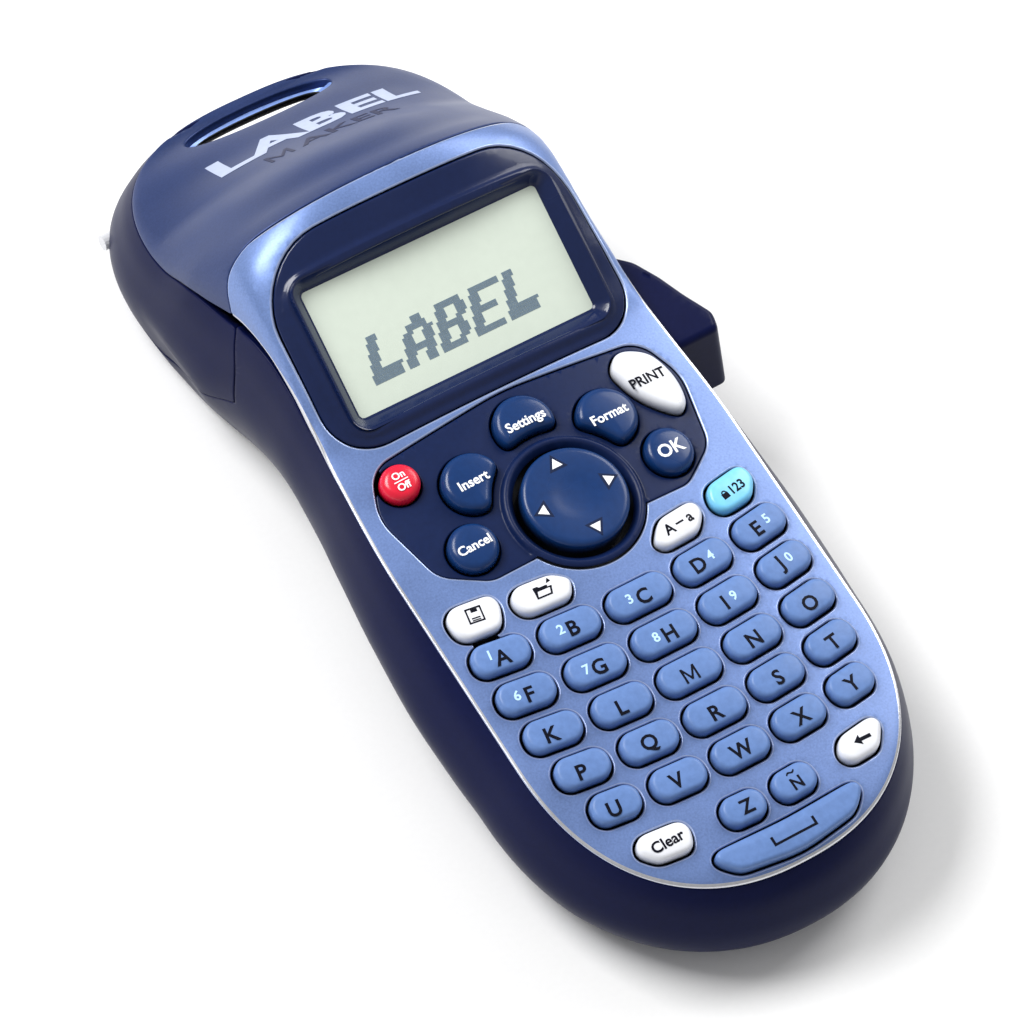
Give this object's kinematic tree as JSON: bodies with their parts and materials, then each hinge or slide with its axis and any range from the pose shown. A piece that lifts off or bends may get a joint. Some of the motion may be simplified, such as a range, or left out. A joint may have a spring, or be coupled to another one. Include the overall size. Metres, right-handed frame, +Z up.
{
  "type": "label maker",
  "caption": "Hand-held label maker with thumb keypad, sloping display, cursor pad, hinged tape bay hood with exit slot, and side cutter lever",
  "frame": {"origin": "centre of the bounding box in plan, on the surface that the object lies on", "axes": "+X to the right as the keys are read, +Y from keypad to hood, +Z up, out of the keypad"},
  "size_m": [0.0896, 0.197, 0.0543],
  "materials": {
    "face_paint": "metallic light blue lacquer on plastic, satin",
    "hood_paint": "metallic mid blue lacquer on plastic, satin",
    "navy_shell": "moulded navy plastic, semi-gloss",
    "bezel_navy": "glossy dark navy",
    "panel_navy": "satin navy",
    "lcd_glass": "pale green grey display glass",
    "steel": "drawn steel",
    "roller_rubber": "matt black rubber",
    "circuit_board": "green solder mask",
    "cell_sleeve": "printed battery sleeve",
    "cassette_shell": "light grey moulded plastic",
    "letter_key": "satin mid blue",
    "white_key": "satin white",
    "cyan_key": "satin light cyan",
    "red_key": "glossy red",
    "control_key": "satin deep blue"
  },
  "bodies": {
    "body": {"back_case": "navy_shell", "front_case": "face_paint", "control_panel": "panel_navy", "display_bezel": "bezel_navy", "lcd_module": "lcd_glass", "hinge_pin": "steel", "batteries": "cell_sleeve", "main_board": "circuit_board", "drive_motor": "steel", "print_head": "steel", "tape_cassette": "cassette_shell"},
    "hood": {"hood_cover": "hood_paint", "hood_skirt": "navy_shell"},
    "lever": {"cutter_lever": "navy_shell"},
    "blade": {"cutter_blade": "steel"},
    "door": {"battery_door": "navy_shell"},
    "roller": {"platen_roller": "roller_rubber"},
    "pinion": {"motor_pinion": "steel"},
    "key_a_cap": {"key_a": "letter_key"},
    "key_b_cap": {"key_b": "letter_key"},
    "key_c_cap": {"key_c": "letter_key"},
    "key_d_cap": {"key_d": "letter_key"},
    "key_e_cap": {"key_e": "letter_key"},
    "key_f_cap": {"key_f": "letter_key"},
    "key_g_cap": {"key_g": "letter_key"},
    "key_h_cap": {"key_h": "letter_key"},
    "key_i_cap": {"key_i": "letter_key"},
    "key_j_cap": {"key_j": "letter_key"},
    "key_k_cap": {"key_k": "letter_key"},
    "key_l_cap": {"key_l": "letter_key"},
    "key_m_cap": {"key_m": "letter_key"},
    "key_n_cap": {"key_n": "letter_key"},
    "key_o_cap": {"key_o": "letter_key"},
    "key_p_cap": {"key_p": "letter_key"},
    "key_q_cap": {"key_q": "letter_key"},
    "key_r_cap": {"key_r": "letter_key"},
    "key_s_cap": {"key_s": "letter_key"},
    "key_t_cap": {"key_t": "letter_key"},
    "key_u_cap": {"key_u": "letter_key"},
    "key_v_cap": {"key_v": "letter_key"},
    "key_w_cap": {"key_w": "letter_key"},
    "key_x_cap": {"key_x": "letter_key"},
    "key_y_cap": {"key_y": "letter_key"},
    "key_z_cap": {"key_z": "letter_key"},
    "key_n_tilde_cap": {"key_n_tilde": "letter_key"},
    "key_save_cap": {"key_save": "white_key"},
    "key_recall_cap": {"key_recall": "white_key"},
    "key_caps_cap": {"key_caps": "white_key"},
    "key_numlock_cap": {"key_numlock": "cyan_key"},
    "key_clear_cap": {"key_clear": "white_key"},
    "key_backspace_cap": {"key_backspace": "white_key"},
    "key_space_cap": {"key_space": "letter_key"},
    "button_on_off_cap": {"button_on_off": "red_key"},
    "button_insert_cap": {"button_insert": "control_key"},
    "button_settings_cap": {"button_settings": "control_key"},
    "button_format_cap": {"button_format": "control_key"},
    "button_cancel_cap": {"button_cancel": "control_key"},
    "button_ok_cap": {"button_ok": "control_key"},
    "button_print_cap": {"button_print": "white_key"},
    "nav_disc_cap": {"nav_disc": "control_key"}
  },
  "joints": [
    {"name": "hood_hinge", "type": "hinge", "parent": "body", "child": "hood", "pos_m": [-0.00274, 0.08692, 0.00757], "axis": [-1, 0, 0], "range_deg": [0, 55]},
    {"name": "lever_pivot", "type": "hinge", "parent": "body", "child": "lever", "pos_m": [0.02596, 0.03523, 0.02576], "axis": [0, 0.1045, -0.9945], "range_deg": [0, 8], "stiffness_Nm_per_rad": 0.6},
    {"name": "blade_slide", "type": "slide", "parent": "body", "child": "blade", "axis": [0, 0.9945, 0.1045], "range_m": [0, 0.0018]},
    {"name": "battery_door_hinge", "type": "hinge", "parent": "body", "child": "door", "pos_m": [-0.00274, -0.015, 0.00621], "axis": [1, 0, 0], "range_deg": [0, 80]},
    {"name": "roller_spin", "type": "hinge", "parent": "body", "child": "roller", "pos_m": [-0.00274, 0.08246, 0.01645], "axis": [1, 0, 0], "continuous": true},
    {"name": "pinion_spin", "type": "hinge", "parent": "body", "child": "pinion", "pos_m": [-0.00274, 0.07429, 0.01559], "axis": [1, 0, 0], "continuous": true},
    {"name": "key_a_press", "type": "slide", "parent": "body", "child": "key_a_cap", "axis": [0, 0.1045, -0.9945], "range_m": [0, 0.0012], "stiffness_N_per_m": 350},
    {"name": "key_b_press", "type": "slide", "parent": "body", "child": "key_b_cap", "axis": [0, 0.1045, -0.9945], "range_m": [0, 0.0012], "stiffness_N_per_m": 350},
    {"name": "key_c_press", "type": "slide", "parent": "body", "child": "key_c_cap", "axis": [0, 0.1045, -0.9945], "range_m": [0, 0.0012], "stiffness_N_per_m": 350},
    {"name": "key_d_press", "type": "slide", "parent": "body", "child": "key_d_cap", "axis": [0, 0.1045, -0.9945], "range_m": [0, 0.0012], "stiffness_N_per_m": 350},
    {"name": "key_e_press", "type": "slide", "parent": "body", "child": "key_e_cap", "axis": [0, 0.1045, -0.9945], "range_m": [0, 0.0012], "stiffness_N_per_m": 350},
    {"name": "key_f_press", "type": "slide", "parent": "body", "child": "key_f_cap", "axis": [0, 0.1045, -0.9945], "range_m": [0, 0.0012], "stiffness_N_per_m": 350},
    {"name": "key_g_press", "type": "slide", "parent": "body", "child": "key_g_cap", "axis": [0, 0.1045, -0.9945], "range_m": [0, 0.0012], "stiffness_N_per_m": 350},
    {"name": "key_h_press", "type": "slide", "parent": "body", "child": "key_h_cap", "axis": [0, 0.1045, -0.9945], "range_m": [0, 0.0012], "stiffness_N_per_m": 350},
    {"name": "key_i_press", "type": "slide", "parent": "body", "child": "key_i_cap", "axis": [0, 0.1045, -0.9945], "range_m": [0, 0.0012], "stiffness_N_per_m": 350},
    {"name": "key_j_press", "type": "slide", "parent": "body", "child": "key_j_cap", "axis": [0, 0.1045, -0.9945], "range_m": [0, 0.0012], "stiffness_N_per_m": 350},
    {"name": "key_k_press", "type": "slide", "parent": "body", "child": "key_k_cap", "axis": [0, 0.1045, -0.9945], "range_m": [0, 0.0012], "stiffness_N_per_m": 350},
    {"name": "key_l_press", "type": "slide", "parent": "body", "child": "key_l_cap", "axis": [0, 0.1045, -0.9945], "range_m": [0, 0.0012], "stiffness_N_per_m": 350},
    {"name": "key_m_press", "type": "slide", "parent": "body", "child": "key_m_cap", "axis": [0, 0.1045, -0.9945], "range_m": [0, 0.0012], "stiffness_N_per_m": 350},
    {"name": "key_n_press", "type": "slide", "parent": "body", "child": "key_n_cap", "axis": [0, 0.1045, -0.9945], "range_m": [0, 0.0012], "stiffness_N_per_m": 350},
    {"name": "key_o_press", "type": "slide", "parent": "body", "child": "key_o_cap", "axis": [0, 0.1045, -0.9945], "range_m": [0, 0.0012], "stiffness_N_per_m": 350},
    {"name": "key_p_press", "type": "slide", "parent": "body", "child": "key_p_cap", "axis": [0, 0.1045, -0.9945], "range_m": [0, 0.0012], "stiffness_N_per_m": 350},
    {"name": "key_q_press", "type": "slide", "parent": "body", "child": "key_q_cap", "axis": [0, 0.1045, -0.9945], "range_m": [0, 0.0012], "stiffness_N_per_m": 350},
    {"name": "key_r_press", "type": "slide", "parent": "body", "child": "key_r_cap", "axis": [0, 0.1045, -0.9945], "range_m": [0, 0.0012], "stiffness_N_per_m": 350},
    {"name": "key_s_press", "type": "slide", "parent": "body", "child": "key_s_cap", "axis": [0, 0.1045, -0.9945], "range_m": [0, 0.0012], "stiffness_N_per_m": 350},
    {"name": "key_t_press", "type": "slide", "parent": "body", "child": "key_t_cap", "axis": [0, 0.1045, -0.9945], "range_m": [0, 0.0012], "stiffness_N_per_m": 350},
    {"name": "key_u_press", "type": "slide", "parent": "body", "child": "key_u_cap", "axis": [0, 0.1045, -0.9945], "range_m": [0, 0.0012], "stiffness_N_per_m": 350},
    {"name": "key_v_press", "type": "slide", "parent": "body", "child": "key_v_cap", "axis": [0, 0.1045, -0.9945], "range_m": [0, 0.0012], "stiffness_N_per_m": 350},
    {"name": "key_w_press", "type": "slide", "parent": "body", "child": "key_w_cap", "axis": [0, 0.1045, -0.9945], "range_m": [0, 0.0012], "stiffness_N_per_m": 350},
    {"name": "key_x_press", "type": "slide", "parent": "body", "child": "key_x_cap", "axis": [0, 0.1045, -0.9945], "range_m": [0, 0.0012], "stiffness_N_per_m": 350},
    {"name": "key_y_press", "type": "slide", "parent": "body", "child": "key_y_cap", "axis": [0, 0.1045, -0.9945], "range_m": [0, 0.0012], "stiffness_N_per_m": 350},
    {"name": "key_z_press", "type": "slide", "parent": "body", "child": "key_z_cap", "axis": [0, 0.1045, -0.9945], "range_m": [0, 0.0012], "stiffness_N_per_m": 350},
    {"name": "key_n_tilde_press", "type": "slide", "parent": "body", "child": "key_n_tilde_cap", "axis": [0, 0.1045, -0.9945], "range_m": [0, 0.0012], "stiffness_N_per_m": 350},
    {"name": "key_save_press", "type": "slide", "parent": "body", "child": "key_save_cap", "axis": [0, 0.1045, -0.9945], "range_m": [0, 0.0012], "stiffness_N_per_m": 350},
    {"name": "key_recall_press", "type": "slide", "parent": "body", "child": "key_recall_cap", "axis": [0, 0.1045, -0.9945], "range_m": [0, 0.0012], "stiffness_N_per_m": 350},
    {"name": "key_caps_press", "type": "slide", "parent": "body", "child": "key_caps_cap", "axis": [0, 0.1045, -0.9945], "range_m": [0, 0.0012], "stiffness_N_per_m": 350},
    {"name": "key_numlock_press", "type": "slide", "parent": "body", "child": "key_numlock_cap", "axis": [0, 0.1045, -0.9945], "range_m": [0, 0.0012], "stiffness_N_per_m": 350},
    {"name": "key_clear_press", "type": "slide", "parent": "body", "child": "key_clear_cap", "axis": [0, 0.1045, -0.9945], "range_m": [0, 0.0012], "stiffness_N_per_m": 350},
    {"name": "key_backspace_press", "type": "slide", "parent": "body", "child": "key_backspace_cap", "axis": [0, 0.1045, -0.9945], "range_m": [0, 0.0012], "stiffness_N_per_m": 350},
    {"name": "key_space_press", "type": "slide", "parent": "body", "child": "key_space_cap", "axis": [0, 0.1045, -0.9945], "range_m": [0, 0.0012], "stiffness_N_per_m": 350},
    {"name": "button_on_off_press", "type": "slide", "parent": "body", "child": "button_on_off_cap", "axis": [0, 0.1045, -0.9945], "range_m": [0, 0.0012], "stiffness_N_per_m": 350},
    {"name": "button_insert_press", "type": "slide", "parent": "body", "child": "button_insert_cap", "axis": [0, 0.1045, -0.9945], "range_m": [0, 0.0012], "stiffness_N_per_m": 350},
    {"name": "button_settings_press", "type": "slide", "parent": "body", "child": "button_settings_cap", "axis": [0, 0.1045, -0.9945], "range_m": [0, 0.0012], "stiffness_N_per_m": 350},
    {"name": "button_format_press", "type": "slide", "parent": "body", "child": "button_format_cap", "axis": [0, 0.1045, -0.9945], "range_m": [0, 0.0012], "stiffness_N_per_m": 350},
    {"name": "button_cancel_press", "type": "slide", "parent": "body", "child": "button_cancel_cap", "axis": [0, 0.1045, -0.9945], "range_m": [0, 0.0012], "stiffness_N_per_m": 350},
    {"name": "button_ok_press", "type": "slide", "parent": "body", "child": "button_ok_cap", "axis": [0, 0.1045, -0.9945], "range_m": [0, 0.0012], "stiffness_N_per_m": 350},
    {"name": "button_print_press", "type": "slide", "parent": "body", "child": "button_print_cap", "axis": [0, 0.1045, -0.9945], "range_m": [0, 0.0012], "stiffness_N_per_m": 350},
    {"name": "nav_disc_press", "type": "slide", "parent": "body", "child": "nav_disc_cap", "axis": [0, 0.1045, -0.9945], "range_m": [0, 0.001], "stiffness_N_per_m": 350}
  ],
  "couplings": [
    {"joint": "blade_slide", "follows": "lever_pivot", "m_per_rad": 0.0125},
    {"joint": "pinion_spin", "follows": "roller_spin", "ratio": -2}
  ]
}
